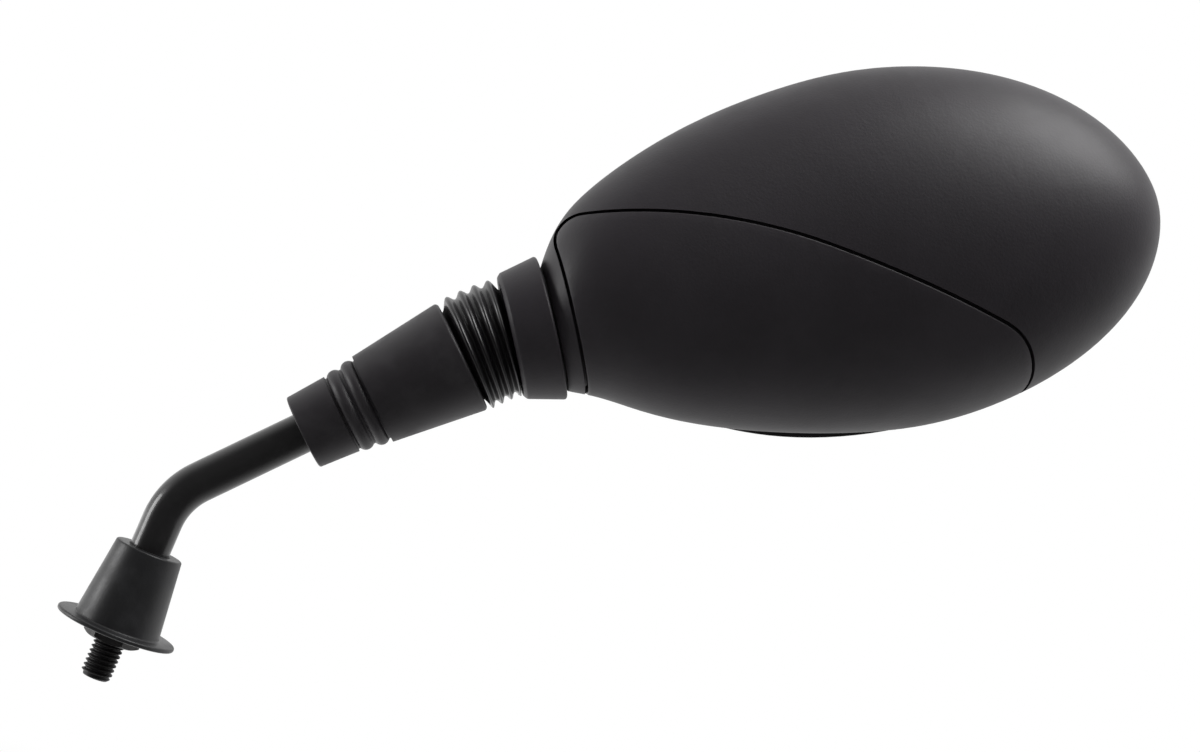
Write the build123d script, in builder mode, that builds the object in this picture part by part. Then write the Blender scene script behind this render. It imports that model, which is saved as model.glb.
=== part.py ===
from build123d import *
import os
from math import atan2, cos, log, radians, sin, sqrt

# Motorcycle mirror: threaded stem, ball joint under a bellows, and an egg-shaped head. Millimetres, +Z up.
os.makedirs("parts", exist_ok=True)

# Stud and lock nut (M8)
STUD_RADIUS = 4.0
STUD_LENGTH = 10.0
STUD_CHAMFER = 0.8
ENGAGED_RADIUS = 3.6
THREAD_CLEARANCE = 0.03
NUT_FLATS = 13.0
NUT_HEIGHT = 6.5
NUT_CHAMFER = 0.6
NUT_CHAMFER_WIDTH = 1.2

# Bent rod
ROD_RADIUS = 5.25
ROD_START = 7.5
BEND_HEIGHT = 40.5
BEND_RADIUS = 19.5
ROD_ANGLE = 48.9
REACH = 91.55
SPIGOT_RADIUS = 3.6
SPIGOT_START = 13.0
SHOULDER_CHAMFER = 1.2

# Base boot
BOOT_CLEARANCE = 0.1
FLANGE_RADIUS = 15.7
FLANGE_BOTTOM = 3.1
FLANGE_THICKNESS = 1.2
FLANGE_EDGE = 0.5
BOOT_FOOT_RADIUS = 11.3
BOOT_TOP_RADIUS = 8.8
BOOT_TOP = 25.2
BOOT_CEILING = 0.7
BOOT_EDGE = 0.5

# Sleeve on the rod, stations measured back from the ball's centre
SLEEVE_LENGTH = 45.4
SLEEVE_END = 9.6
SLEEVE_GRIP = 20.0
END_COLLAR_LENGTH = 10.9
END_COLLAR_RADIUS = 9.9
END_COLLAR_SWELL = 0.7
RIB_WIDTH = 3.6
RIB_GROOVE = 0.55
RIB_RADII = (11.2, 11.8)
RIB_ROOT_RADII = (10.0, 10.5, 11.0)
CONE_SMALL_RADIUS = 12.2
CONE_LARGE_RADIUS = 15.3
SLEEVE_WALL = 2.5
SLEEVE_EDGE = 1.0

# Bellows
BELLOWS_RIDGE_RADIUS = 15.6
BELLOWS_VALLEY_RADIUS = 14.1
BELLOWS_WALL = 0.9
BELLOWS_RIDGES = 4
PLEAT_SPAN = (0.155, 0.88)
PLEAT_TILT = (0.2, 0.7)
CUFF_LENGTH = 3.6
CUFF_CLEARANCE = 0.1

# Ball joint
BALL_RADIUS = 8.0
BALL_FLAT = 6.8
BORE_CLEARANCE = 0.05
SEAT_WALL = 1.9
SEAT_START = 35.0
SEAT_END = 117.0
SEAT_SLOTS = 4
SEAT_SLOT_WIDTH = 1.5
SEAT_SLOT_FLOOR = 1.5
BALL_CLEARANCE = 0.1
SOCKET_WALL = 1.3
SOCKET_LIP = 4.4
SOCKET_FLANGE_RADIUS = 14.5
SOCKET_FLANGE_THICKNESS = 2.8
CUP_BACK = 12.0
CUP_RIM = 3.3
CUP_HOLE_RADIUS = 5.0
SLIDE_CLEARANCE = 0.12
SPRING_THICKNESS = 0.8
SPRING_HEIGHT = 2.0
WASHER_THICKNESS = 1.5
STACK_CLEARANCE = 0.05

# Collar between bellows and head
HEAD_ANGLE = 35.8
COLLAR_START = 3.7
COLLAR_END = 14.65
COLLAR_FRONT_RADIUS = 15.7
COLLAR_CHAMFER_LENGTH = 0.9
COLLAR_SHOULDER_RADIUS = 16.7
COLLAR_BACK_RADIUS = 19.1
COLLAR_EDGE = 0.7
FIT_CLEARANCE = 0.1

# Head, stations measured out from the ball's centre along the head axis
NECK_START = 15.3
NECK_DROP = 0.6
WIDEST = 105.0
NOSE_LENGTH = 74.9
TAIL_LENGTH = 96.7
TAIL_FULLNESS = 1.645
NOSE_FULLNESS = 1.98
HALF_HEIGHT = 48.15
BACK_DEPTH = 36.0
SHELL_WALL = 2.4
FRONT_FACE = 16.5
BULKHEAD_THICKNESS = 3.0
TAIL_STATIONS = (18, 21, 25, 31, 40, 53, 68, 85)
NOSE_ANGLES = (0, 18, 35, 50, 63, 74, 82)
MIDLINE_TAIL = ((20.0, 2.3, -0.4), (32.0, 3.5, -1.8), (62.0, 3.0, -6.5), (WIDEST, 1.35, -9.0))
MIDLINE_NOSE = ((150.0, -0.6, -9.0), (WIDEST + NOSE_LENGTH, -2.8, -9.0))
SLOPE_STEP = 0.05

# Neck screws
SCREW_COUNT = 3
SCREW_RADIUS = 1.5
SCREW_CIRCLE = 12.1
SCREW_REACH = 2.4
SCREW_HEAD_RADIUS = 2.3
SCREW_HEAD_HEIGHT = 1.8
SCREW_CLEARANCE = 0.05

# Lower cover
COVER_WALL = 2.2
COVER_CLEARANCE = 0.1
COVER_START = 20.1
COVER_FRONT = 3.0
COVER_FRONT_SLOPE = 0.075
COVER_EDGE = 0.4
SEAM_GAP = 0.8
LEDGE_WIDTH = 3.5
LEDGE_THICKNESS = 2.0
HOOK_STATIONS = (48.0, 78.0, 106.0)
HOOK_WIDTH = 8.0
HOOK_WALL = 1.8
HOOK_LIP = 1.6
HOOK_THICKNESS = 1.5
HOOK_CLEARANCE = 0.25
SEAM_START = 19.25
SEAM = ((28.0, 26.1), (86.4, 4.3), (127.0, -24.6), (134.0, -38.0), (129.5, -48.0))

# Glass, its pad and its frame, an egg that lies within the head's outline by these amounts
EGG_SHIFT = 1.0
EGG_DROP = 1.1
EGG_TRIM = 2.5
EGG_TAIL_TRIM = 20.7
EGG_NOSE_TRIM = 3.0
FRAME_WALL = 2.0
FRAME_LIP = 1.6
FRAME_OVERLAP = 1.6
GLASS_CURVE = 1200.0
GLASS_THICKNESS = 2.0
GLASS_CLEARANCE = 0.2
GLASS_CROWN = 21.6
PAD_WIDTH = 7.0
PAD_MARGIN = 1.0
OPENING_INSET = 10.5

# Overshoot of cuts, and how near two radii count as the same
OVERCUT = 1.0
SAME_SIZE = 0.01

# Frames: everything lies on the plane through the stud and the head axis
rod_dir = Vector(cos(radians(ROD_ANGLE)), 0, sin(radians(ROD_ANGLE)))
head_dir = Vector(cos(radians(HEAD_ANGLE)), 0, sin(radians(HEAD_ANGLE)))
pivot = Vector(0, 0, BEND_HEIGHT) + rod_dir * REACH
rod_plane = Plane(origin=pivot, x_dir=rod_dir, z_dir=(0, -1, 0))
head_plane = Plane(origin=pivot, x_dir=head_dir, z_dir=(0, -1, 0))
rod_axis = Axis(pivot, rod_dir)
head_axis = Axis(pivot, head_dir)


def across_head(station):
    """Plane square to the head axis, its x along the head's height."""
    return Plane(head_plane.from_local_coords((station, 0, 0)), x_dir=head_plane.y_dir, z_dir=head_dir)


def facing_glass(y):
    """Plane parallel to the glass, at a distance y in front of the stem."""
    return head_plane.offset(-y)


def circles_of(piece, radius):
    """Round edges of a piece that have the given radius."""
    rims = piece.edges().filter_by(GeomType.CIRCLE)
    return rims.filter_by(lambda rim: abs(rim.radius - radius) < SAME_SIZE)


# Stem: stud, bent rod and spigot for the ball
spigot_foot = pivot - rod_dir * SPIGOT_START
with BuildPart() as stem:
    with BuildSketch(Plane.XZ):
        with BuildLine():
            Polyline(
                (0, -STUD_LENGTH),
                (STUD_RADIUS - STUD_CHAMFER, -STUD_LENGTH),
                (STUD_RADIUS, -STUD_LENGTH + STUD_CHAMFER),
                (STUD_RADIUS, 0),
                (ENGAGED_RADIUS, 0),
                (ENGAGED_RADIUS, ROD_START),
                (0, ROD_START),
                close=True,
            )
        make_face()
    revolve(axis=Axis.Z)
    with BuildLine(Plane.XZ) as route:
        FilletPolyline(
            (0, ROD_START), (0, BEND_HEIGHT), (spigot_foot.X, spigot_foot.Z), radius=BEND_RADIUS
        )
    with BuildSketch(Plane.XY.offset(ROD_START)):
        Circle(ROD_RADIUS)
    sweep(path=route.line)
    chamfer(stem.edges().filter_by(GeomType.CIRCLE).sort_by(rod_axis)[-1], SHOULDER_CHAMFER)
    with BuildSketch(Plane(spigot_foot, z_dir=rod_dir)):
        Circle(SPIGOT_RADIUS)
    extrude(amount=SPIGOT_START + BALL_FLAT)
stem.part.label = "stem"
export_step(stem.part, "parts/stem.step")

# Lock nut, chamfered on both faces
with BuildPart() as lock_nut:
    with BuildSketch():
        RegularPolygon(NUT_FLATS / 2, 6, major_radius=False)
        Circle(ENGAGED_RADIUS + THREAD_CLEARANCE, mode=Mode.SUBTRACT)
    extrude(amount=NUT_HEIGHT)
    nut_corner = NUT_FLATS / sqrt(3)
    with BuildSketch(Plane.XZ):
        with BuildLine():
            Polyline(
                (0, 0),
                (nut_corner - NUT_CHAMFER_WIDTH, 0),
                (nut_corner, NUT_CHAMFER),
                (nut_corner, NUT_HEIGHT - NUT_CHAMFER),
                (nut_corner - NUT_CHAMFER_WIDTH, NUT_HEIGHT),
                (0, NUT_HEIGHT),
                close=True,
            )
        make_face()
    revolve(axis=Axis.Z, mode=Mode.INTERSECT)
lock_nut.part.label = "lock_nut"
export_step(lock_nut.part, "parts/lock_nut.step")

# Base boot: rubber cone with a flange that hides the nut's upper half
boot_bore = ROD_RADIUS + BOOT_CLEARANCE
nut_pocket = NUT_FLATS / sqrt(3) + BOOT_CLEARANCE
flange_top = FLANGE_BOTTOM + FLANGE_THICKNESS
with BuildPart() as base_boot:
    with BuildSketch(Plane.XZ):
        with BuildLine():
            Polyline(
                (nut_pocket, FLANGE_BOTTOM),
                (FLANGE_RADIUS, FLANGE_BOTTOM),
                (FLANGE_RADIUS, flange_top),
                (BOOT_FOOT_RADIUS, flange_top),
                (BOOT_TOP_RADIUS, BOOT_TOP),
                (boot_bore, BOOT_TOP),
                (boot_bore, ROD_START + BOOT_CEILING),
                (nut_pocket, NUT_HEIGHT + BOOT_CLEARANCE),
                close=True,
            )
        make_face()
    revolve(axis=Axis.Z)
    fillet(circles_of(base_boot, FLANGE_RADIUS), FLANGE_EDGE)
    fillet(circles_of(base_boot, BOOT_FOOT_RADIUS), BOOT_EDGE)
    fillet(base_boot.edges().group_by(Axis.Z)[-1], BOOT_EDGE)
base_boot.part.label = "base_boot"
export_step(base_boot.part, "parts/base_boot.step")

# Sleeve: plain end collar, two round ribs and a cone that opens towards the bellows
sleeve_back = -SLEEVE_END - SLEEVE_LENGTH
sleeve_bore = ROD_RADIUS + BOOT_CLEARANCE
seat_bore = BALL_RADIUS + BALL_CLEARANCE
seat_radius = seat_bore + SEAT_WALL
socket_bore = seat_radius + BALL_CLEARANCE
socket_radius = socket_bore + SOCKET_WALL
cuff_radius = socket_radius + FIT_CLEARANCE + BELLOWS_WALL
cuff_bore = cuff_radius + CUFF_CLEARANCE
collar_step = sleeve_back + END_COLLAR_LENGTH
rib_starts = [collar_step + RIB_GROOVE + i * (RIB_WIDTH + RIB_GROOVE) for i in range(len(RIB_RADII))]
cone_start = rib_starts[-1] + RIB_WIDTH + RIB_GROOVE
with BuildPart() as stem_sleeve:
    with BuildSketch(rod_plane):
        with BuildLine():
            Polyline(
                (collar_step, RIB_ROOT_RADII[0]),
                (collar_step, END_COLLAR_RADIUS + END_COLLAR_SWELL),
                (sleeve_back, END_COLLAR_RADIUS),
                (sleeve_back, sleeve_bore),
                (sleeve_back + SLEEVE_GRIP, sleeve_bore),
                (-SLEEVE_END - CUFF_LENGTH - SLEEVE_WALL, cuff_bore),
                (-SLEEVE_END, cuff_bore),
                (-SLEEVE_END, CONE_LARGE_RADIUS),
                (cone_start, CONE_SMALL_RADIUS),
                (cone_start, RIB_ROOT_RADII[-1]),
                (rib_starts[-1] + RIB_WIDTH, RIB_ROOT_RADII[-1]),
            )
            for i in range(len(RIB_RADII)):
                start = rib_starts[i]
                stop = start + RIB_WIDTH
                ThreePointArc(
                    (start, RIB_ROOT_RADII[i]),
                    ((start + stop) / 2, RIB_RADII[i]),
                    (stop, RIB_ROOT_RADII[i + 1]),
                )
                Line((start - RIB_GROOVE, RIB_ROOT_RADII[i]), (start, RIB_ROOT_RADII[i]))
        make_face()
    revolve(axis=rod_axis)
    fillet(circles_of(stem_sleeve, CONE_LARGE_RADIUS), SLEEVE_EDGE)
    fillet(circles_of(stem_sleeve, END_COLLAR_RADIUS), BOOT_EDGE)
stem_sleeve.part.label = "stem_sleeve"
export_step(stem_sleeve.part, "parts/stem_sleeve.step")

# Bellows: pleats that fan from the sleeve's axis towards the head's axis, with a plain cuff at each end
sleeve_mouth = pivot - rod_dir * SLEEVE_END
collar_mouth = pivot + head_dir * COLLAR_START
fan_lead = (SLEEVE_END + COLLAR_START) / 3
with BuildLine() as fan:
    Bezier(sleeve_mouth, sleeve_mouth + rod_dir * fan_lead, collar_mouth - head_dir * fan_lead, collar_mouth)


def pleat_rings(thinner):
    """Circles through the cuffs, the ridges and the valleys, all thinner by the same amount."""
    radii = [cuff_radius, cuff_radius]
    planes = [
        Plane(pivot - rod_dir * (SLEEVE_END + CUFF_LENGTH), x_dir=(0, 1, 0), z_dir=rod_dir),
        Plane(sleeve_mouth, x_dir=(0, 1, 0), z_dir=rod_dir),
    ]
    folds = 2 * BELLOWS_RIDGES - 1
    for k in range(folds):
        along = PLEAT_SPAN[0] + (PLEAT_SPAN[1] - PLEAT_SPAN[0]) * k / (folds - 1)
        turn = PLEAT_TILT[0] + (PLEAT_TILT[1] - PLEAT_TILT[0]) * k / (folds - 1)
        way = rod_dir * (1 - turn) + head_dir * turn
        planes.append(Plane(fan.wire().position_at(along), x_dir=(0, 1, 0), z_dir=way))
        radii.append(BELLOWS_VALLEY_RADIUS if k % 2 else BELLOWS_RIDGE_RADIUS)
    planes.append(Plane(collar_mouth, x_dir=(0, 1, 0), z_dir=head_dir))
    planes.append(Plane(collar_mouth + head_dir * CUFF_LENGTH, x_dir=(0, 1, 0), z_dir=head_dir))
    radii += [cuff_radius, cuff_radius]
    rings = []
    for plane, radius in zip(planes, radii):
        with BuildSketch(plane) as ring:
            Circle(radius - thinner)
        rings.append(ring.sketch.face())
    return rings


with BuildPart() as bellows:
    loft(sections=pleat_rings(0), ruled=True)
    loft(sections=pleat_rings(BELLOWS_WALL), ruled=True, mode=Mode.SUBTRACT)
bellows.part.label = "bellows"
export_step(bellows.part, "parts/bellows.step")

# Ball on the spigot, with a flat where the spigot is riveted over
with BuildPart() as pivot_ball:
    with BuildSketch(rod_plane):
        with BuildLine():
            flat_edge = sqrt(BALL_RADIUS**2 - BALL_FLAT**2)
            bore = SPIGOT_RADIUS + BORE_CLEARANCE
            back = -sqrt(BALL_RADIUS**2 - bore**2)
            ThreePointArc((BALL_FLAT, flat_edge), (0, BALL_RADIUS), (back, bore))
            Polyline((back, bore), (BALL_FLAT, bore), (BALL_FLAT, flat_edge))
        make_face()
    revolve(axis=rod_axis)
pivot_ball.part.label = "pivot_ball"
export_step(pivot_ball.part, "parts/pivot_ball.step")


def on_sphere(radius, degrees):
    """Point of a circle about the ball's centre, the angle counted from the head axis."""
    return (radius * cos(radians(degrees)), radius * sin(radians(degrees)))


# Seat: slotted liner that snaps over the ball
seat_middle = (SEAT_START + SEAT_END) / 2
with BuildPart() as ball_seat:
    with BuildSketch(head_plane):
        with BuildLine():
            ThreePointArc(*[on_sphere(seat_radius, d) for d in (SEAT_START, seat_middle, SEAT_END)])
            ThreePointArc(*[on_sphere(seat_bore, d) for d in (SEAT_START, seat_middle, SEAT_END)])
            Line(on_sphere(seat_radius, SEAT_START), on_sphere(seat_bore, SEAT_START))
            Line(on_sphere(seat_radius, SEAT_END), on_sphere(seat_bore, SEAT_END))
        make_face()
    revolve(axis=head_axis)
    with BuildSketch(across_head(SEAT_SLOT_FLOOR)):
        with PolarLocations(seat_radius, SEAT_SLOTS, start_angle=180 / SEAT_SLOTS):
            Rectangle(2 * SEAT_WALL + seat_radius, SEAT_SLOT_WIDTH)
    extrude(amount=-2 * seat_radius, mode=Mode.SUBTRACT)
ball_seat.part.label = "ball_seat"
export_step(ball_seat.part, "parts/ball_seat.step")

# Socket: tube with a rounded-in lip that holds the seat, and a flange that the head is screwed to
flange_start = COLLAR_END + FIT_CLEARANCE
flange_end = flange_start + SOCKET_FLANGE_THICKNESS
lip_radius = sqrt(socket_bore**2 - SOCKET_LIP**2)
screw_hole = SCREW_RADIUS + SCREW_CLEARANCE
with BuildPart() as ball_socket:
    with BuildSketch(head_plane):
        with BuildLine():
            ThreePointArc(
                (-SOCKET_LIP, lip_radius),
                (-SOCKET_LIP / 2, sqrt(socket_bore**2 - (SOCKET_LIP / 2) ** 2)),
                (0, socket_bore),
            )
            Polyline(
                (0, socket_bore),
                (flange_end, socket_bore),
                (flange_end, SOCKET_FLANGE_RADIUS),
                (flange_start, SOCKET_FLANGE_RADIUS),
                (flange_start, socket_radius),
                (-SOCKET_LIP, socket_radius),
                (-SOCKET_LIP, lip_radius),
            )
        make_face()
    revolve(axis=head_axis)
    with BuildSketch(across_head(flange_end)):
        with PolarLocations(SCREW_CIRCLE, SCREW_COUNT):
            Circle(screw_hole)
    extrude(amount=-SCREW_REACH, mode=Mode.SUBTRACT)
ball_socket.part.label = "ball_socket"
export_step(ball_socket.part, "parts/ball_socket.step")

# Pressure cup that bears on the seat
slide_radius = socket_bore - SLIDE_CLEARANCE
cup_edge = sqrt(socket_bore**2 - CUP_RIM**2)
cup_floor = sqrt(socket_bore**2 - CUP_HOLE_RADIUS**2)
cup_turn = (CUP_HOLE_RADIUS + cup_edge) / 2
with BuildPart() as pressure_cup:
    with BuildSketch(head_plane):
        with BuildLine():
            ThreePointArc(
                (CUP_RIM, cup_edge),
                (sqrt(socket_bore**2 - cup_turn**2), cup_turn),
                (cup_floor, CUP_HOLE_RADIUS),
            )
            Polyline(
                (cup_floor, CUP_HOLE_RADIUS),
                (CUP_BACK, CUP_HOLE_RADIUS),
                (CUP_BACK, slide_radius),
                (CUP_RIM, slide_radius),
                (CUP_RIM, cup_edge),
            )
        make_face()
    revolve(axis=head_axis)
pressure_cup.part.label = "pressure_cup"
export_step(pressure_cup.part, "parts/pressure_cup.step")

# Disc spring, its inner edge on the cup and its outer edge on the washer
spring_start = CUP_BACK + STACK_CLEARANCE
spring_end = spring_start + SPRING_HEIGHT
with BuildPart() as disc_spring:
    with BuildSketch(head_plane):
        with BuildLine():
            Polyline(
                (spring_start, CUP_HOLE_RADIUS),
                (spring_start + SPRING_THICKNESS, CUP_HOLE_RADIUS),
                (spring_end, slide_radius),
                (spring_end - SPRING_THICKNESS, slide_radius),
                close=True,
            )
        make_face()
    revolve(axis=head_axis)
disc_spring.part.label = "disc_spring"
export_step(disc_spring.part, "parts/disc_spring.step")

# Thrust washer between the spring and the head's bulkhead
washer_start = spring_end + STACK_CLEARANCE
washer_end = washer_start + WASHER_THICKNESS
with BuildPart() as thrust_washer:
    with BuildSketch(across_head(washer_start)):
        Circle(slide_radius)
        Circle(CUP_HOLE_RADIUS, mode=Mode.SUBTRACT)
    extrude(amount=WASHER_THICKNESS)
thrust_washer.part.label = "thrust_washer"
export_step(thrust_washer.part, "parts/thrust_washer.step")

# Collar: trim ring pushed on the socket, with a recess that takes the bellows' cuff
with BuildPart() as collar:
    with BuildSketch(head_plane):
        with BuildLine():
            Polyline(
                (COLLAR_START, cuff_radius + CUFF_CLEARANCE),
                (COLLAR_START, COLLAR_FRONT_RADIUS),
                (COLLAR_START + COLLAR_CHAMFER_LENGTH, COLLAR_SHOULDER_RADIUS),
                (COLLAR_END, COLLAR_BACK_RADIUS),
                (COLLAR_END, socket_radius + FIT_CLEARANCE),
                (COLLAR_START + CUFF_LENGTH + CUFF_CLEARANCE, socket_radius + FIT_CLEARANCE),
                (COLLAR_START + CUFF_LENGTH + CUFF_CLEARANCE, cuff_radius + CUFF_CLEARANCE),
                close=True,
            )
        make_face()
    revolve(axis=head_axis)
    for radius in (COLLAR_FRONT_RADIUS, COLLAR_SHOULDER_RADIUS, COLLAR_BACK_RADIUS):
        fillet(circles_of(collar, radius), COLLAR_EDGE)
collar.part.label = "collar"
export_step(collar.part, "parts/collar.step")

# Head form: ellipses along a gently curved midline, a superellipse tail and an elliptical nose
tip_station = WIDEST + NOSE_LENGTH
with BuildLine() as midline:
    Spline((NECK_START, -NECK_DROP, 0), *MIDLINE_TAIL, *MIDLINE_NOSE)


def half_height(station):
    """Half the head's height: one superellipse to the nose and a leaner one to the neck."""
    if station > WIDEST:
        return HALF_HEIGHT * sqrt(max(0, 1 - ((station - WIDEST) / NOSE_LENGTH) ** NOSE_FULLNESS))
    return HALF_HEIGHT * sqrt(max(0, 1 - ((WIDEST - station) / TAIL_LENGTH) ** TAIL_FULLNESS))


neck_radius = half_height(NECK_START)
depth_power = log(neck_radius / BACK_DEPTH) / log(neck_radius / HALF_HEIGHT)


def head_form(inset, start):
    """Head lofted from one station to the nose, its surface moved inwards by the inset."""
    stations = [start] + [u for u in TAIL_STATIONS if u > start + 1]
    stations += [WIDEST + NOSE_LENGTH * sin(radians(a)) for a in NOSE_ANGLES]
    sections = []
    for u in stations:
        middle = midline.edge().position_at((u - NECK_START) / (tip_station - NECK_START))
        height = half_height(u)
        slope = atan2(half_height(u + SLOPE_STEP) - half_height(u - SLOPE_STEP), 2 * SLOPE_STEP)
        depth = BACK_DEPTH * (height / HALF_HEIGHT) ** depth_power
        origin = head_plane.from_local_coords((u + inset * sin(slope), middle.Y, middle.Z))
        with BuildSketch(Plane(origin, x_dir=head_plane.y_dir, z_dir=head_dir)) as section:
            Ellipse(height - inset * cos(slope), depth - inset * cos(slope))
        sections.append(section.sketch.face())
    end = midline.edge().position_at(1)
    tip = head_plane.from_local_coords((tip_station - inset, end.Y, end.Z))
    with BuildPart() as form:
        loft(sections=[*sections, Vertex(*tip)])
    return form.part


def cover_edge(grow):
    """Sloping plane where the lower cover ends towards the glass."""
    origin = head_plane.from_local_coords((COVER_START, 0, -COVER_FRONT - grow))
    return Plane(origin, x_dir=head_plane.y_dir, z_dir=head_dir * COVER_FRONT_SLOPE + head_plane.z_dir)


def cover_zone(grow):
    """Block of the lower cover's outline, grown by an amount at the seam and towards the glass."""
    below = -2 * HALF_HEIGHT
    with BuildPart() as zone:
        with BuildSketch(head_plane):
            with BuildLine():
                left = Line((COVER_START, below), (COVER_START, SEAM_START))
                seam = left
                for point in SEAM:
                    seam = TangentArc(seam @ 1, point, tangent=seam % 1)
                foot = seam @ 1 + (seam % 1) * ((below - SEAM[-1][1]) / (seam % 1).Y)
                Polyline(seam @ 1, foot, left @ 0)
            make_face()
            offset(amount=grow, kind=Kind.INTERSECTION)
        extrude(amount=2 * BACK_DEPTH, both=True)
        split(bisect_by=cover_edge(grow), keep=Keep.TOP)
    return zone.part


egg_middle = (WIDEST - EGG_SHIFT, -EGG_DROP)


def egg(inset, y, height):
    """Egg-shaped block, inset from the frame's outline, standing on the plane at y."""
    half = HALF_HEIGHT - EGG_TRIM - inset
    nose = NOSE_LENGTH - EGG_NOSE_TRIM - inset
    tail = TAIL_LENGTH - EGG_TAIL_TRIM - inset
    with BuildPart() as block:
        with BuildSketch(facing_glass(y)):
            with BuildLine():
                EllipticalCenterArc(egg_middle, nose, half, start_angle=-90, arc_size=180)
                EllipticalCenterArc(egg_middle, tail, half, start_angle=90, arc_size=180)
            make_face()
        extrude(amount=-height)
    return block.part


# Back shell: open behind the glass and under the lower cover, with a bulkhead across the neck
outer = head_form(0, NECK_START)
cover_depth = COVER_WALL + COVER_CLEARANCE
under_cover = head_form(cover_depth, NECK_START)
bulkhead_start = flange_end + FIT_CLEARANCE
bulkhead_end = bulkhead_start + BULKHEAD_THICKNESS
boss_start = washer_end + STACK_CLEARANCE
with BuildPart() as cavity:
    add(head_form(SHELL_WALL, NECK_START))
    split(bisect_by=facing_glass(FRONT_FACE - SHELL_WALL), keep=Keep.TOP)
    split(bisect_by=across_head(bulkhead_end), keep=Keep.TOP)
with BuildPart() as ledge:
    add(under_cover)
    add(cover_zone(LEDGE_WIDTH), mode=Mode.INTERSECT)
    add(head_form(cover_depth + LEDGE_THICKNESS, NECK_START), mode=Mode.SUBTRACT)
with BuildPart() as cover_layer:
    add(cover_zone(SEAM_GAP))
    add(under_cover, mode=Mode.SUBTRACT)
with BuildPart() as back_shell:
    add(outer)
    split(bisect_by=facing_glass(FRONT_FACE), keep=Keep.TOP)
    add(cavity.part, mode=Mode.SUBTRACT)
    add(ledge.part)
    add(cover_layer.part, mode=Mode.SUBTRACT)
    add(cover_zone(-LEDGE_WIDTH), mode=Mode.SUBTRACT)
    add(egg(OPENING_INSET, FRONT_FACE - 2 * SHELL_WALL, 3 * SHELL_WALL), mode=Mode.SUBTRACT)
    with BuildSketch(across_head(bulkhead_start)):
        Circle(SOCKET_FLANGE_RADIUS + FIT_CLEARANCE)
    extrude(amount=NECK_START - bulkhead_start - OVERCUT, mode=Mode.SUBTRACT)
    with BuildSketch(across_head(bulkhead_end)):
        Circle(SCREW_CIRCLE + SCREW_HEAD_RADIUS + FIT_CLEARANCE)
    extrude(amount=SCREW_HEAD_HEIGHT + FIT_CLEARANCE, mode=Mode.SUBTRACT)
    with BuildSketch(across_head(boss_start)):
        Circle(slide_radius)
    extrude(amount=bulkhead_start - boss_start)
    with BuildSketch(across_head(bulkhead_end)):
        with PolarLocations(SCREW_CIRCLE, SCREW_COUNT):
            Circle(screw_hole)
    extrude(amount=-BULKHEAD_THICKNESS - OVERCUT, mode=Mode.SUBTRACT)
back_shell.part.label = "back_shell"
export_step(back_shell.part, "parts/back_shell.step")

# Hooks inside the lower cover, which catch under the shell's ledge
hook_face = -LEDGE_WIDTH - HOOK_CLEARANCE
hook_back = hook_face - HOOK_WALL
hook_catch = cover_depth + LEDGE_THICKNESS + HOOK_CLEARANCE
hook_tip = head_form(hook_catch + HOOK_THICKNESS, NECK_START)
with BuildPart() as hook_slabs:
    with BuildSketch(head_plane):
        with Locations(*[(u, 0) for u in HOOK_STATIONS]):
            Rectangle(HOOK_WIDTH, 4 * HALF_HEIGHT)
    extrude(amount=2 * BACK_DEPTH, both=True)
with BuildPart() as hook_posts:
    add(cover_zone(hook_face))
    add(cover_zone(hook_back), mode=Mode.SUBTRACT)
    add(hook_slabs.part, mode=Mode.INTERSECT)
    add(head_form(COVER_WALL / 2, NECK_START), mode=Mode.INTERSECT)
    add(hook_tip, mode=Mode.SUBTRACT)
with BuildPart() as hook_lips:
    add(cover_zone(hook_face + HOOK_LIP))
    add(cover_zone(hook_back), mode=Mode.SUBTRACT)
    add(hook_slabs.part, mode=Mode.INTERSECT)
    add(head_form(hook_catch, NECK_START), mode=Mode.INTERSECT)
    add(hook_tip, mode=Mode.SUBTRACT)

# Lower cover: the part of the head's skin inside the seam, with a rounded rim
skin = outer.faces().filter_by(GeomType.BSPLINE)


def on_skin(edge):
    """Whether an edge lies on the head's outer surface."""
    return min(face.distance_to(edge @ 0.5) for face in skin) < SAME_SIZE


with BuildPart() as lower_cover:
    add(outer)
    add(head_form(COVER_WALL, NECK_START), mode=Mode.SUBTRACT)
    add(cover_zone(0), mode=Mode.INTERSECT)
    sides = lower_cover.faces().filter_by(GeomType.BSPLINE, reverse=True)
    fillet(sides.edges().filter_by(on_skin), COVER_EDGE)
    add(hook_posts.part)
    add(hook_lips.part)
lower_cover.part.label = "lower_cover"
export_step(lower_cover.part, "parts/lower_cover.step")

# Neck screws: through the bulkhead into the socket's flange
with BuildPart() as neck_screws:
    with BuildSketch(across_head(bulkhead_end)):
        with PolarLocations(SCREW_CIRCLE, SCREW_COUNT):
            Circle(SCREW_RADIUS)
    extrude(amount=FIT_CLEARANCE - BULKHEAD_THICKNESS - SCREW_REACH)
    with BuildSketch(across_head(bulkhead_end)):
        with PolarLocations(SCREW_CIRCLE, SCREW_COUNT):
            Circle(SCREW_HEAD_RADIUS)
    extrude(amount=SCREW_HEAD_HEIGHT)
    fillet(neck_screws.edges().group_by(head_axis)[-1], SCREW_HEAD_HEIGHT / 2)
neck_screws.part.label = "neck_screws"
export_step(neck_screws.part, "parts/neck_screws.step")

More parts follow.
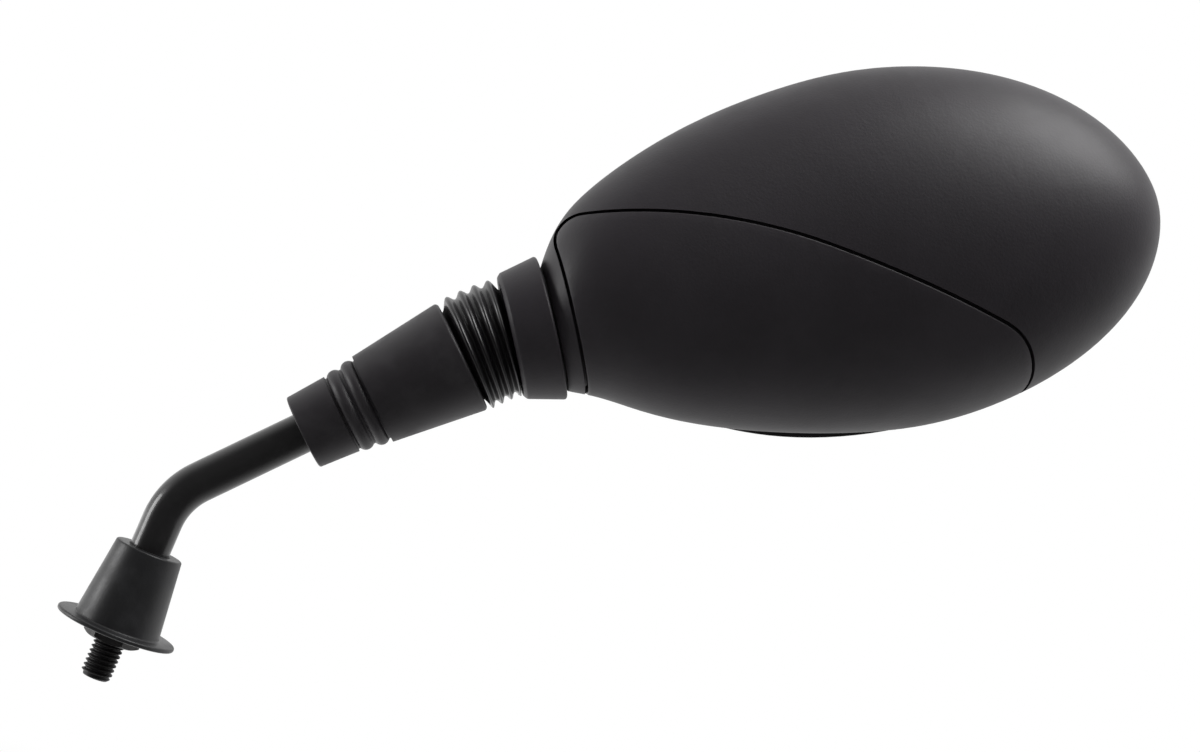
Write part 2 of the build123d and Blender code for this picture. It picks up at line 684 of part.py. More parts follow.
# Mirror glass: convex, with its pad behind it and the frame round its edge
curve_centre = head_plane.from_local_coords((*egg_middle, GLASS_CURVE - GLASS_CROWN))
glass_inset = FRAME_WALL + GLASS_CLEARANCE
room = 2 * (GLASS_CROWN - FRONT_FACE)
with BuildPart() as mirror_glass:
    add(egg(glass_inset, FRONT_FACE, room))
    with Locations(curve_centre):
        Sphere(GLASS_CURVE, mode=Mode.INTERSECT)
        Sphere(GLASS_CURVE - GLASS_THICKNESS, mode=Mode.SUBTRACT)
mirror_glass.part.label = "mirror_glass"
export_step(mirror_glass.part, "parts/mirror_glass.step")

with BuildPart() as glass_pad:
    add(egg(glass_inset + PAD_MARGIN, FRONT_FACE, room))
    add(egg(glass_inset + PAD_MARGIN + PAD_WIDTH, FRONT_FACE, room), mode=Mode.SUBTRACT)
    with Locations(curve_centre):
        Sphere(GLASS_CURVE - GLASS_THICKNESS, mode=Mode.INTERSECT)
glass_pad.part.label = "glass_pad"
export_step(glass_pad.part, "parts/glass_pad.step")

with BuildPart() as glass_pocket:
    add(egg(FRAME_WALL, FRONT_FACE, room))
    with Locations(curve_centre):
        Sphere(GLASS_CURVE + STACK_CLEARANCE, mode=Mode.INTERSECT)
with BuildPart() as glass_frame:
    add(egg(0, FRONT_FACE, room))
    with Locations(curve_centre):
        Sphere(GLASS_CURVE + STACK_CLEARANCE + FRAME_LIP, mode=Mode.INTERSECT)
    add(glass_pocket.part, mode=Mode.SUBTRACT)
    add(egg(glass_inset + FRAME_OVERLAP, FRONT_FACE, room), mode=Mode.SUBTRACT)
glass_frame.part.label = "glass_frame"
export_step(glass_frame.part, "parts/glass_frame.step")
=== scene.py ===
from math import atan, cos, pi, radians, sin, sqrt, tan

import bpy
from mathutils import Matrix, Vector


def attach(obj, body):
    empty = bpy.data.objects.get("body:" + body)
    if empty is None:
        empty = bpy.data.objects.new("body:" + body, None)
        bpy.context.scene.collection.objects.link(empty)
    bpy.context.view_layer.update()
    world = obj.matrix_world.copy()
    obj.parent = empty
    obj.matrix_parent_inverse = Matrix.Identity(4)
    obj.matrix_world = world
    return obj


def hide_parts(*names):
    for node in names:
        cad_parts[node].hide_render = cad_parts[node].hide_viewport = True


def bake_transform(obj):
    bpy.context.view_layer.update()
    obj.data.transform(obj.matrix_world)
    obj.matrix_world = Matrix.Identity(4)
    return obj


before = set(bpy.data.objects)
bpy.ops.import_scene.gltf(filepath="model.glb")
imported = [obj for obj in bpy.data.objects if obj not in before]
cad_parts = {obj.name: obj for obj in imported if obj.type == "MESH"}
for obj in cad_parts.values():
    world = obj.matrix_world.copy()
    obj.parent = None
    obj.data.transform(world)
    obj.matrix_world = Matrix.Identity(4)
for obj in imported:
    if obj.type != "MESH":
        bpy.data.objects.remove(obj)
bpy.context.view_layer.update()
MM = 0.001

# Stem, joint and head places, as in the solids
STUD_RADIUS = 4.0 * MM
STUD_END = -10.0 * MM
STUD_CHAMFER = 0.8 * MM
THREAD_PITCH = 1.25 * MM
THREAD_ROOT = 3.3 * MM
THREAD_TOP = 0.4 * MM
ROD_RADIUS = 5.25 * MM
ROD_FOOT = 7.5 * MM
BEND_HEIGHT = 40.5 * MM
BEND_RADIUS = 19.5 * MM
ROD_ANGLE = 48.9
REACH = 91.55 * MM
SPIGOT_RADIUS = 3.6 * MM
SPIGOT_START = 13.0 * MM
SPIGOT_END = 6.8 * MM
SHOULDER_CHAMFER = 1.2 * MM
HEAD_ANGLE = 35.8
SLEEVE_MOUTH = 9.6 * MM
COLLAR_MOUTH = 3.7 * MM
CUFF_RADIUS = 12.4 * MM
CUFF_LENGTH = 3.6 * MM
RIDGE_RADIUS = 15.6 * MM
VALLEY_RADIUS = 14.1 * MM
RUBBER_WALL = 0.7 * MM
FOLDS = 7
RINGS_PER_FOLD = 8
PLEAT_SPAN = (0.155, 0.88)
PLEAT_TILT = (0.2, 0.7)
PARTING_FOLD = 2.5
PAN_RUN = 6.4 * MM
LIP_GAP = 0.06 * MM
SKIRT_RADIUS = 13.9 * MM
SKIRT_DEPTH = 8.8 * MM
SKIRT_RINGS = 8

# How fine the meshes are, and which edges stay sharp
STUD_STEPS = 48
ROD_SIDES = 64
BEND_STEPS = 28
BELLOWS_SIDES = 80
WELD = 0.002 * MM
THREAD_WELD = 0.005 * MM
COPY_WELD = 0.001 * MM
RING_SLACK = 0.01 * MM
CUT_SLACK = 1e-6
EDGE_ANGLE = 35
ROD_EDGE_ANGLE = 30
PLEAT_EDGE_ANGLE = 60

rod_way = Vector((cos(radians(ROD_ANGLE)), 0, sin(radians(ROD_ANGLE))))
head_way = Vector((cos(radians(HEAD_ANGLE)), 0, sin(radians(HEAD_ANGLE))))
ball_centre = Vector((0, 0, BEND_HEIGHT)) + rod_way * REACH


# Working by hand: selection, edit mode and modifiers

def deselect_all():
    if bpy.context.mode != "OBJECT":
        bpy.ops.object.mode_set(mode="OBJECT")
    bpy.ops.object.select_all(action="DESELECT")


def pick(piece):
    deselect_all()
    piece.select_set(True)
    bpy.context.view_layer.objects.active = piece


def edit(piece):
    pick(piece)
    bpy.ops.object.mode_set(mode="EDIT")
    bpy.ops.mesh.select_mode(type="VERT")


def select_where(piece, test):
    """In edit mode, selects the vertices whose place passes the test."""
    bpy.ops.mesh.select_all(action="DESELECT")
    bpy.ops.object.mode_set(mode="OBJECT")
    for point in piece.data.vertices:
        point.select = test(point.co)
    bpy.ops.object.mode_set(mode="EDIT")


def apply_modifier(piece, kind, **settings):
    pick(piece)
    modifier = piece.modifiers.new(kind.lower(), kind)
    for name, value in settings.items():
        setattr(modifier, name, value)
    bpy.ops.object.modifier_apply(modifier=modifier.name)


def finish_mesh(piece, angle):
    """Merges doubles, turns faces outwards and smooths what is not a real edge."""
    edit(piece)
    bpy.ops.mesh.select_all(action="SELECT")
    bpy.ops.mesh.remove_doubles(threshold=WELD)
    bpy.ops.mesh.normals_make_consistent(inside=False)
    bpy.ops.object.mode_set(mode="OBJECT")
    bpy.ops.object.transform_apply(location=True, rotation=True, scale=True)
    bpy.ops.object.shade_smooth_by_angle(angle=radians(angle))


def extrude_ring(shift, centre, grow):
    """In edit mode, extrudes what is selected by a shift and sizes it about a centre."""
    bpy.ops.mesh.extrude_region_move(TRANSFORM_OT_translate={"value": shift})
    bpy.ops.transform.resize(value=(grow, grow, grow), center_override=centre)


def profile(name, points):
    """A line drawn point by point in the XZ plane, ready to be turned about Z."""
    deselect_all()
    bpy.ops.mesh.primitive_circle_add(vertices=3, radius=MM, location=(0, 0, 0))
    line = bpy.context.object
    line.name = name
    edit(line)
    bpy.ops.mesh.select_all(action="SELECT")
    bpy.ops.mesh.merge(type="CENTER")
    bpy.ops.transform.translate(value=(points[0][0], 0, points[0][1]))
    for start, stop in zip(points, points[1:]):
        step = (stop[0] - start[0], 0, stop[1] - start[1])
        bpy.ops.mesh.extrude_region_move(TRANSFORM_OT_translate={"value": step})
    bpy.ops.object.mode_set(mode="OBJECT")
    return line


def smooth_copy(node):
    """A merged copy of a solid that shades smoothly, in place of the faceted one."""
    pick(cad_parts[node])
    bpy.ops.object.duplicate()
    piece = bpy.context.object
    piece.name = node + "_dressed"
    for key in list(piece.keys()):
        del piece[key]
    piece.parent = None
    piece.data.materials.clear()
    edit(piece)
    bpy.ops.mesh.select_all(action="SELECT")
    bpy.ops.mesh.remove_doubles(threshold=COPY_WELD)
    bpy.ops.mesh.customdata_custom_splitnormals_clear()
    bpy.ops.object.mode_set(mode="OBJECT")
    bpy.ops.object.shade_smooth_by_angle(angle=radians(EDGE_ANGLE))
    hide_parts(node)
    return piece


# Finishes

class Value:
    """An output socket whose arithmetic adds Math nodes."""

    def __init__(self, finish, socket):
        self.finish = finish
        self.socket = socket

    def math(self, operation, first, second):
        return self.finish.node("ShaderNodeMath", {"operation": operation}, {0: first, 1: second})

    def __add__(self, other):
        return self.math("ADD", self, other)

    def __radd__(self, other):
        return self.math("ADD", other, self)

    def __sub__(self, other):
        return self.math("SUBTRACT", self, other)

    def __rsub__(self, other):
        return self.math("SUBTRACT", other, self)

    def __mul__(self, other):
        return self.math("MULTIPLY", self, other)

    def __rmul__(self, other):
        return self.math("MULTIPLY", other, self)


class Finish:
    """Nodes of one material or of the world."""

    def __init__(self, owner):
        owner.use_nodes = True
        self.owner = owner
        self.tree = owner.node_tree
        self.tree.nodes.clear()

    def node(self, kind, settings=None, sockets=None, output=0):
        made = self.tree.nodes.new(kind)
        for name, value in (settings or {}).items():
            setattr(made, name, value)
        for name, value in (sockets or {}).items():
            if isinstance(value, Value):
                self.tree.links.new(value.socket, made.inputs[name])
            else:
                made.inputs[name].default_value = value
        return Value(self, made.outputs[output]) if made.outputs else None

    def place(self):
        return self.node("ShaderNodeTexCoord", output="Object")

    def noise(self, size, detail=2.0, rough=0.5):
        """Noise from 0 to 1 with features of about the given size in metres."""
        return self.node(
            "ShaderNodeTexNoise",
            sockets={"Vector": self.place(), "Scale": 1 / size, "Detail": detail, "Roughness": rough},
        )

    def fit(self, value, low, high, to_low, to_high):
        return self.node(
            "ShaderNodeMapRange",
            {"interpolation_type": "SMOOTHSTEP"},
            {"Value": value, "From Min": low, "From Max": high, "To Min": to_low, "To Max": to_high},
        )

    def mix(self, share, first, second):
        return self.node(
            "ShaderNodeMix", {"data_type": "RGBA"}, {0: share, 6: first, 7: second}, output=2
        )

    def bump(self, height, strength, depth):
        return self.node(
            "ShaderNodeBump", sockets={"Strength": strength, "Distance": depth, "Height": height}
        )

    def length(self, vector):
        return self.node("ShaderNodeVectorMath", {"operation": "LENGTH"}, {0: vector}, output="Value")

    def part(self, vector, axis):
        return self.node("ShaderNodeSeparateXYZ", sockets={0: vector}, output=axis)

    def ray(self, kind):
        return self.node("ShaderNodeLightPath", output=f"Is {kind} Ray")

    def seen(self):
        """1 for rays from the camera, also through clear pieces."""
        return self.ray("Camera") + self.ray("Transmission")

    def surface(self, **sockets):
        named = {name.replace("_", " "): value for name, value in sockets.items()}
        body = self.node("ShaderNodeBsdfPrincipled", sockets=named)
        self.node("ShaderNodeOutputMaterial", sockets={"Surface": body})
        return self.owner


def new_finish(name):
    return Finish(bpy.data.materials.new(name))


def shade(red, green, blue):
    return (red, green, blue, 1.0)


def grained_plastic(name, dark, pale, dull, grain_size, grain_depth):
    """Black moulding with a fine spark-eroded grain, faintly clouded."""
    f = new_finish(name)
    clouds = f.fit(f.noise(22 * MM, 3.0, 0.6), 0.3, 0.7, 0.0, 1.0)
    grain = f.noise(grain_size, 2.0, 0.6)
    pits = f.node(
        "ShaderNodeTexVoronoi",
        {"feature": "SMOOTH_F1"},
        {"Vector": f.place(), "Scale": 1 / (1.6 * grain_size), "Smoothness": 0.6},
    )
    height = grain * 0.6 + pits * 0.5
    bump = f.bump(height, 0.5, grain_depth)
    return f.surface(
        Base_Color=f.mix(clouds * 0.6 + grain * 0.4, dark, pale),
        Roughness=dull + 0.08 * grain - 0.04 * clouds,
        Specular_IOR_Level=0.35,
        Normal=bump,
    )


def moulded_rubber(name, dark, pale, dull, shine):
    """Rubber with a faint bloom and a soft skin."""
    f = new_finish(name)
    bloom = f.fit(f.noise(9 * MM, 4.0, 0.65), 0.42, 0.75, 0.0, 1.0)
    skin = f.noise(0.5 * MM, 2.0, 0.5)
    bump = f.bump(skin, 0.25, 0.05 * MM)
    return f.surface(
        Base_Color=f.mix(bloom * 0.7 + skin * 0.3, dark, pale),
        Roughness=dull + 0.12 * bloom + 0.05 * skin,
        Specular_IOR_Level=shine,
        Normal=bump,
    )


def gloss_paint():
    """Baked black enamel on the rod, with a slight orange peel."""
    f = new_finish("rod_gloss_black")
    peel = f.noise(1.8 * MM, 2.0, 0.5)
    dust = f.fit(f.noise(6 * MM, 5.0, 0.7), 0.5, 0.8, 0.0, 1.0)
    bump = f.bump(peel, 0.12, 0.05 * MM)
    return f.surface(
        Base_Color=f.mix(dust, shade(0.015, 0.0145, 0.015), shade(0.021, 0.02, 0.021)),
        Roughness=0.3 + 0.08 * dust + 0.03 * peel,
        Specular_IOR_Level=0.4,
        Coat_Weight=0.45 - 0.15 * dust,
        Coat_Roughness=0.07,
        Normal=bump,
    )


def black_oxide(name):
    """Chemically blackened steel, rubbed brighter on thread crests and edges far from the stud's axis."""
    f = new_finish(name)
    mottle = f.fit(f.noise(1.2 * MM, 4.0, 0.7), 0.3, 0.75, 0.0, 1.0)
    scale = f.noise(0.25 * MM, 2.0, 0.6)
    flat = f.node(
        "ShaderNodeVectorMath",
        {"operation": "MULTIPLY"},
        {0: f.place(), 1: (1.0, 1.0, 0.0)},
    )
    rubbed = f.fit(f.length(flat), 3.7 * MM, 4.05 * MM, 0.0, 1.0) * mottle
    bump = f.bump(scale, 0.3, 0.03 * MM)
    return f.surface(
        Base_Color=f.mix(rubbed, shade(0.016, 0.015, 0.016), shade(0.05, 0.048, 0.047)),
        Metallic=0.35 + 0.4 * rubbed,
        Roughness=0.5 - 0.12 * rubbed + 0.08 * scale,
        Normal=bump,
    )


def bare_steel(name, tone, dull):
    """Plated steel inside the joint, with turning marks and patches of grease."""
    f = new_finish(name)
    film = f.fit(f.noise(3 * MM, 4.0, 0.6), 0.35, 0.7, 0.0, 1.0)
    fine = f.noise(0.3 * MM, 2.0, 0.6)
    bump = f.bump(fine, 0.15, 0.02 * MM)
    return f.surface(
        Base_Color=f.mix(film, shade(tone, tone, tone * 1.02), shade(tone * 0.7, tone * 0.68, tone * 0.66)),
        Metallic=1.0,
        Roughness=dull + 0.12 * film + 0.05 * fine,
        Normal=bump,
    )


def natural_acetal():
    """Off-white bearing plastic, a little waxy."""
    f = new_finish("seat_acetal")
    flow = f.fit(f.noise(5 * MM, 3.0, 0.6), 0.3, 0.7, 0.0, 1.0)
    fine = f.noise(0.4 * MM, 2.0, 0.5)
    bump = f.bump(fine, 0.15, 0.03 * MM)
    return f.surface(
        Base_Color=f.mix(flow, shade(0.78, 0.77, 0.72), shade(0.68, 0.66, 0.6)),
        Roughness=0.38 + 0.08 * fine,
        Specular_IOR_Level=0.4,
        Normal=bump,
    )


def closed_cell_foam():
    """Charcoal foam ring behind the glass."""
    f = new_finish("pad_foam_black")
    cells = f.node(
        "ShaderNodeTexVoronoi", {"feature": "F1"}, {"Vector": f.place(), "Scale": 1 / (0.6 * MM)}
    )
    bump = f.bump(cells, 0.6, 0.15 * MM)
    return f.surface(
        Base_Color=f.mix(cells, shade(0.02, 0.02, 0.02), shade(0.045, 0.045, 0.045)),
        Roughness=0.85 + 0.1 * cells,
        Specular_IOR_Level=0.2,
        Normal=bump,
    )


def silvered_glass():
    """Convex mirror: a bright, faintly cool reflection with a trace of haze."""
    f = new_finish("mirror_silver")
    haze = f.fit(f.noise(14 * MM, 5.0, 0.65), 0.4, 0.8, 0.0, 1.0)
    return f.surface(
        Base_Color=f.mix(haze, shade(0.86, 0.88, 0.89), shade(0.81, 0.83, 0.84)),
        Metallic=1.0,
        Roughness=0.012 + 0.03 * haze,
    )


housing_black = grained_plastic(
    "housing_grained_black", shade(0.0185, 0.0155, 0.019), shade(0.026, 0.0225, 0.0268),
    0.46, 0.45 * MM, 0.06 * MM,
)
frame_black = grained_plastic(
    "frame_satin_black", shade(0.014, 0.013, 0.014), shade(0.021, 0.02, 0.021), 0.42, 0.35 * MM, 0.03 * MM
)
socket_black = grained_plastic(
    "socket_nylon_black", shade(0.016, 0.016, 0.016), shade(0.026, 0.026, 0.026), 0.5, 0.3 * MM, 0.04 * MM
)
sleeve_black = moulded_rubber(
    "sleeve_rubber_black", shade(0.0185, 0.016, 0.0188), shade(0.027, 0.0242, 0.0274), 0.42, 0.4
)
boot_black = moulded_rubber(
    "boot_rubber_black", shade(0.015, 0.015, 0.016), shade(0.024, 0.024, 0.026), 0.36, 0.45
)
bellows_black = moulded_rubber(
    "bellows_rubber_black", shade(0.005, 0.004, 0.005), shade(0.009, 0.008, 0.009), 0.27, 0.5
)
rod_black = gloss_paint()
stud_oxide = black_oxide("stud_black_oxide")
acetal = natural_acetal()
ball_bright = bare_steel("ball_polished_steel", 0.58, 0.18)
plated = bare_steel("plated_steel", 0.46, 0.3)
foam = closed_cell_foam()
silver = silvered_glass()


def dress(piece, body, finish):
    piece.data.materials.clear()
    piece.data.materials.append(finish)
    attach(piece, body)


# Threaded stud

def make_stud():
    """A thread section wound into a helix, cut flat at both ends and chamfered at the free one."""
    crest, root = THREAD_PITCH / 8, THREAD_PITCH / 6
    flank = (THREAD_PITCH - crest - root) / 2
    bottom = STUD_END - 2 * THREAD_PITCH
    marks = [
        (THREAD_ROOT, 0), (STUD_RADIUS, flank), (STUD_RADIUS, flank + crest),
        (THREAD_ROOT, 2 * flank + crest), (THREAD_ROOT, THREAD_PITCH),
    ]
    stud = profile("threaded_stud", [(radius, bottom + rise) for radius, rise in marks])
    turns = int((THREAD_TOP - bottom) / THREAD_PITCH) + 2
    apply_modifier(
        stud, "SCREW", axis="Z", angle=2 * pi, screw_offset=THREAD_PITCH, iterations=turns,
        steps=STUD_STEPS, render_steps=STUD_STEPS, use_merge_vertices=True, merge_threshold=THREAD_WELD,
    )
    edit(stud)
    bpy.ops.mesh.select_all(action="SELECT")
    bpy.ops.mesh.remove_doubles(threshold=THREAD_WELD)
    for height, outward in ((STUD_END, -1), (THREAD_TOP, 1)):
        bpy.ops.mesh.select_all(action="SELECT")
        bpy.ops.mesh.bisect(
            plane_co=(0, 0, height), plane_no=(0, 0, outward),
            clear_outer=True, use_fill=True, threshold=CUT_SLACK,
        )
    bpy.ops.object.mode_set(mode="OBJECT")
    for point in stud.data.vertices:
        limit = STUD_RADIUS - STUD_CHAMFER + (point.co.z - STUD_END)
        out = sqrt(point.co.x ** 2 + point.co.y ** 2)
        if out > limit:
            point.co.x *= limit / out
            point.co.y *= limit / out
    finish_mesh(stud, EDGE_ANGLE)
    return stud


# Bent rod with its spigot

def make_rod():
    turn = radians(90 - ROD_ANGLE)
    lead = BEND_RADIUS * tan(turn / 2)
    deselect_all()
    bpy.ops.mesh.primitive_circle_add(
        vertices=ROD_SIDES, radius=ROD_RADIUS, fill_type="NGON", location=(0, 0, ROD_FOOT)
    )
    rod = bpy.context.object
    rod.name = "bent_rod"
    bpy.ops.object.transform_apply(location=True)
    edit(rod)
    bpy.ops.mesh.select_all(action="SELECT")
    bpy.ops.mesh.extrude_region_move(
        TRANSFORM_OT_translate={"value": (0, 0, BEND_HEIGHT - lead - ROD_FOOT)}
    )
    centre = (BEND_RADIUS, 0, BEND_HEIGHT - lead)
    bpy.ops.mesh.spin(steps=BEND_STEPS, angle=-turn, center=centre, axis=(0, 1, 0))
    run = rod_way * (REACH - lead - SPIGOT_START - SHOULDER_CHAMFER)
    bpy.ops.mesh.extrude_region_move(TRANSFORM_OT_translate={"value": run})
    shoulder = ball_centre - rod_way * SPIGOT_START
    step_radius = ROD_RADIUS - SHOULDER_CHAMFER
    extrude_ring(rod_way * SHOULDER_CHAMFER, shoulder, step_radius / ROD_RADIUS)
    extrude_ring((0, 0, 0), shoulder, SPIGOT_RADIUS / step_radius)
    bpy.ops.mesh.extrude_region_move(
        TRANSFORM_OT_translate={"value": rod_way * (SPIGOT_START + SPIGOT_END)}
    )
    finish_mesh(rod, ROD_EDGE_ANGLE)
    return rod


# Bellows: one ring extruded through every pleat, then parted past the second ridge,
# where the upper tube ends in a round skirt about the ball's centre, inside the lower one

sleeve_mouth = ball_centre - rod_way * SLEEVE_MOUTH
collar_mouth = ball_centre + head_way * COLLAR_MOUTH
fan_lead = (SLEEVE_MOUTH + COLLAR_MOUTH) / 3


def between(pair, share):
    return pair[0] + (pair[1] - pair[0]) * share


def fan_place(along, turn):
    """Centre and way of a ring, at shares of the run from sleeve to collar and of the bend."""
    rest = 1 - along
    spot = rest**3 * sleeve_mouth + along**3 * collar_mouth
    spot += 3 * rest**2 * along * (sleeve_mouth + rod_way * fan_lead)
    spot += 3 * rest * along**2 * (collar_mouth - head_way * fan_lead)
    return spot, (rod_way * (1 - turn) + head_way * turn).normalized()


def fold_shares(fold):
    """Shares of the run and of the bend at a fold, counted from the first ridge."""
    share = fold / (FOLDS - 1)
    return between(PLEAT_SPAN, share), between(PLEAT_TILT, share)


def bellows_rings():
    """Centre, way and radius of each ring, from the cuff in the sleeve to the cuff in the collar."""
    folds = [((0.0, 0.0), CUFF_RADIUS)]
    folds += [(fold_shares(k), VALLEY_RADIUS if k % 2 else RIDGE_RADIUS) for k in range(FOLDS)]
    folds.append(((1.0, 1.0), CUFF_RADIUS))
    rings = [(sleeve_mouth - rod_way * CUFF_LENGTH, rod_way, CUFF_RADIUS)]
    for (shares, radius), (next_shares, next_radius) in zip(folds, folds[1:]):
        for step in range(RINGS_PER_FOLD):
            run = step / RINGS_PER_FOLD
            along, turn = (between(pair, run) for pair in zip(shares, next_shares))
            rise = 0.5 - 0.5 * cos(pi * run)
            rings.append((*fan_place(along, turn), between((radius, next_radius), rise)))
    rings.append((collar_mouth, head_way, CUFF_RADIUS))
    rings.append((collar_mouth + head_way * CUFF_LENGTH, head_way, CUFF_RADIUS))
    return rings


parting_spot, parting_way = fan_place(*fold_shares(PARTING_FOLD))


def make_bellows():
    """Two tubes that meet past the second ridge, the upper one with a round skirt inside the lower."""
    rings = bellows_rings()
    deselect_all()
    bpy.ops.mesh.primitive_circle_add(
        vertices=BELLOWS_SIDES, radius=CUFF_RADIUS, location=rings[0][0],
        rotation=(0, radians(90 - ROD_ANGLE), 0),
    )
    lower = bpy.context.object
    lower.name = "bellows_lift"
    bpy.ops.object.transform_apply(location=True, rotation=True)
    edit(lower)
    bpy.ops.mesh.select_all(action="SELECT")
    for (spot, way, size), (next_spot, next_way, next_size) in zip(rings, rings[1:]):
        extrude_ring(next_spot - spot, next_spot, next_size / size)
        tilt = way.angle(next_way)
        if tilt > 0:
            bpy.ops.transform.rotate(value=-tilt, orient_axis="Y", center_override=next_spot)
    bpy.ops.object.mode_set(mode="OBJECT")
    finish_mesh(lower, PLEAT_EDGE_ANGLE)
    edit(lower)
    select_where(lower, lambda place: (place - parting_spot).dot(parting_way) > -RING_SLACK)
    bpy.ops.mesh.separate(type="SELECTED")
    bpy.ops.object.mode_set(mode="OBJECT")
    upper = next(piece for piece in bpy.context.selected_objects if piece != lower)
    upper.name = "bellows_pan"
    edit(upper)
    select_where(upper, lambda place: (place - parting_spot).dot(parting_way) < RING_SLACK)
    bpy.ops.transform.translate(value=parting_way * LIP_GAP)
    spot = parting_spot + parting_way * LIP_GAP
    size = (VALLEY_RADIUS + RIDGE_RADIUS) / 2
    lip_depth = (ball_centre - parting_spot).dot(parting_way)
    for step in range(SKIRT_RINGS + 1):
        depth = between((lip_depth, SKIRT_DEPTH), step / SKIRT_RINGS)
        next_spot = ball_centre - parting_way * depth
        next_size = sqrt(SKIRT_RADIUS**2 - depth**2)
        extrude_ring(next_spot - spot, next_spot, next_size / size)
        spot, size = next_spot, next_size
    bpy.ops.object.mode_set(mode="OBJECT")
    for tube in (lower, upper):
        apply_modifier(tube, "SOLIDIFY", thickness=RUBBER_WALL, offset=-1.0)
        bpy.ops.object.shade_smooth_by_angle(angle=radians(PLEAT_EDGE_ANGLE))
    return lower, upper


# Thread, rod and bellows stand for their solids
threaded_stud = make_stud()
dress(threaded_stud, "stem", stud_oxide)
bent_rod = make_rod()
dress(bent_rod, "stem", rod_black)
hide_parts("stem")

bellows_lift, bellows_pan = make_bellows()
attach(bellows_lift, "ball")
parting_spot + parting_way * PAN_RUN
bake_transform(bellows_pan)
for tube in (bellows_lift, bellows_pan):
    tube.data.materials.append(bellows_black)
    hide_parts("bellows")

for node, body, finish, slot in (
    ("base_boot", "stem", boot_black, "boot_rubber"),
    ("stem_sleeve", "stem", sleeve_black, "sleeve_rubber"),
    ("collar", "head", housing_black, "housing_plastic"),
    ("back_shell", "head", housing_black, "housing_plastic"),
    ("lower_cover", "head", housing_black, "housing_plastic"),
    ("glass_frame", "head", frame_black, "frame_plastic"),
    ("mirror_glass", "head", silver, "mirror_coat"),
    ("pivot_ball", "ball", ball_bright, "ball_steel"),
    ("ball_seat", "seat", acetal, "seat_plastic"),
    ("ball_socket", "head", socket_black, "socket_plastic"),
):
    dress(smooth_copy(node), body, finish)

for node, finish in (
    ("lock_nut", stud_oxide),
    ("pressure_cup", acetal),
    ("disc_spring", plated),
    ("thrust_washer", plated),
    ("neck_screws", plated),
    ("glass_pad", foam),
):
    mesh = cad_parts[node].data
    mesh.materials.clear()
    mesh.materials.append(finish)


# Camera at the photograph's place; the focal length is in the photograph's pixels
YAW, ROLL = radians(4.5), radians(23.2)
FOCAL, HALF_WIDTH = 2213.75, 600
DISTANCE, NEAR_CLIP = 0.575, 0.01
AIM = Vector((88.633, 0, 111.538)) * MM
scene = bpy.context.scene
right = Vector((cos(YAW) * cos(ROLL), -sin(YAW), cos(YAW) * sin(ROLL)))
away = Vector((sin(YAW) * cos(ROLL), cos(YAW), sin(YAW) * sin(ROLL)))
up = Vector((-sin(ROLL), 0, cos(ROLL)))
camera_data = bpy.data.cameras.new("camera")
camera_data.sensor_fit = "HORIZONTAL"
camera_data.angle = 2 * atan(HALF_WIDTH / FOCAL)
camera_data.clip_start = NEAR_CLIP
camera = bpy.data.objects.new("camera", camera_data)
turned = Matrix((right, up, -away)).transposed().to_4x4()
camera.matrix_world = Matrix.Translation(AIM - away * DISTANCE) @ turned
scene.collection.objects.link(camera)
scene.camera = camera

# Soft boxes, placed as the camera sees them: across, above and towards it
LAMP_DISTANCE = 0.9


def soft_box(name, across, above, toward, size, power):
    lamp = bpy.data.lights.new(name, "AREA")
    lamp.shape = "SQUARE"
    lamp.size = size
    lamp.energy = power
    holder = bpy.data.objects.new(name, lamp)
    way = (right * across + up * above - away * toward).normalized()
    spot = Matrix.Translation(AIM + way * LAMP_DISTANCE)
    holder.matrix_world = spot @ way.to_track_quat("Z", "Y").to_matrix().to_4x4()
    scene.collection.objects.link(holder)


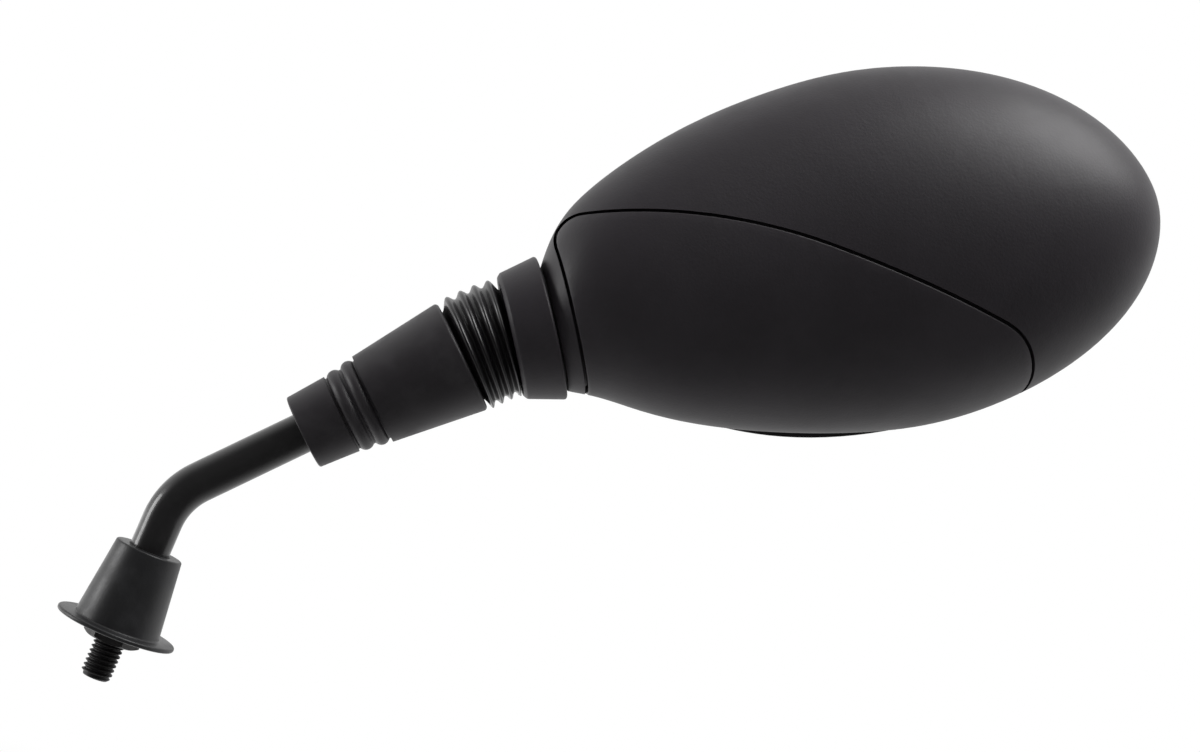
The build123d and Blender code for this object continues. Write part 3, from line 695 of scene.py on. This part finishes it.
soft_box("window_soft_box", across=0.66, above=0.68, toward=0.14, size=0.6, power=8.5)
soft_box("top_soft_box", across=0.3, above=0.85, toward=0.45, size=0.6, power=0.4)
soft_box("side_soft_box", across=-0.9, above=0.3, toward=0.12, size=0.3, power=2.3)

# Pale floor far enough below to stand clear of the object, with its shadow near the middle. In reflections
# it is a painted reflection instead: a glowing panel up to FLOOR_GLOW bright, dimmer towards the camera's
# side, with a painted shadow of the head towards +X.
FLOOR_GLOW = 1.6
FLOOR_SIZE, FLOOR_SPOT = 12.0, (0.09, 0, -0.2)
BLACK, WHITE = shade(0, 0, 0), shade(1, 1, 1)
deselect_all()
bpy.ops.mesh.primitive_plane_add(size=FLOOR_SIZE, location=FLOOR_SPOT)
floor = bpy.context.object
floor.name = "floor"
f = new_finish("floor_white")
behind, beside = f.part(f.place(), "Y"), f.part(f.place(), "X")
seen, glossy = f.seen(), f.ray("Glossy")
far = f.fit(f.length(f.place()), 0.25, 0.8, 0.0, 1.0)
# Painted shade of the floor's reflection: dimmer towards the camera's side, and a painted shadow of the
# head towards +X
painted_reflection_shade = f.fit(behind, -0.25, 0.2, 0.03, 1.0) * f.fit(beside, -0.03, 0.08, 1.0, 0.55)
level = seen * (1 / FLOOR_GLOW) + glossy * painted_reflection_shade
paper = f.node("ShaderNodeBsdfDiffuse", sockets={"Color": shade(0.9, 0.9, 0.9)})
tone = f.mix(level, BLACK, shade(FLOOR_GLOW, FLOOR_GLOW, FLOOR_GLOW))
glow = f.node("ShaderNodeEmission", sockets={"Color": tone, "Strength": 1.0})
cover = f.node("ShaderNodeMixShader", sockets={0: far * seen + glossy, 1: paper, 2: glow})
f.node("ShaderNodeOutputMaterial", sockets={"Surface": cover})
floor.data.materials.append(f.owner)

# White room: even light on the object, dark only where the camera stands
ROOM_FILL = 0.26
room = Finish(bpy.data.worlds.new("white_room"))
scene.world = room.owner
way = room.node("ShaderNodeTexCoord", output="Generated")
bright = room.fit(room.part(way, "Y"), -0.6, 0.4, 0.05, 1.0)
seen, glossy = room.seen(), room.ray("Glossy")
plain = ROOM_FILL * (1 - seen - glossy)
tone = room.mix(seen + glossy * bright + plain, BLACK, WHITE)
sky = room.node("ShaderNodeBackground", sockets={"Color": tone, "Strength": 1.0})
room.node("ShaderNodeOutputWorld", sockets={"Surface": sky})

scene.view_settings.view_transform = "Standard"
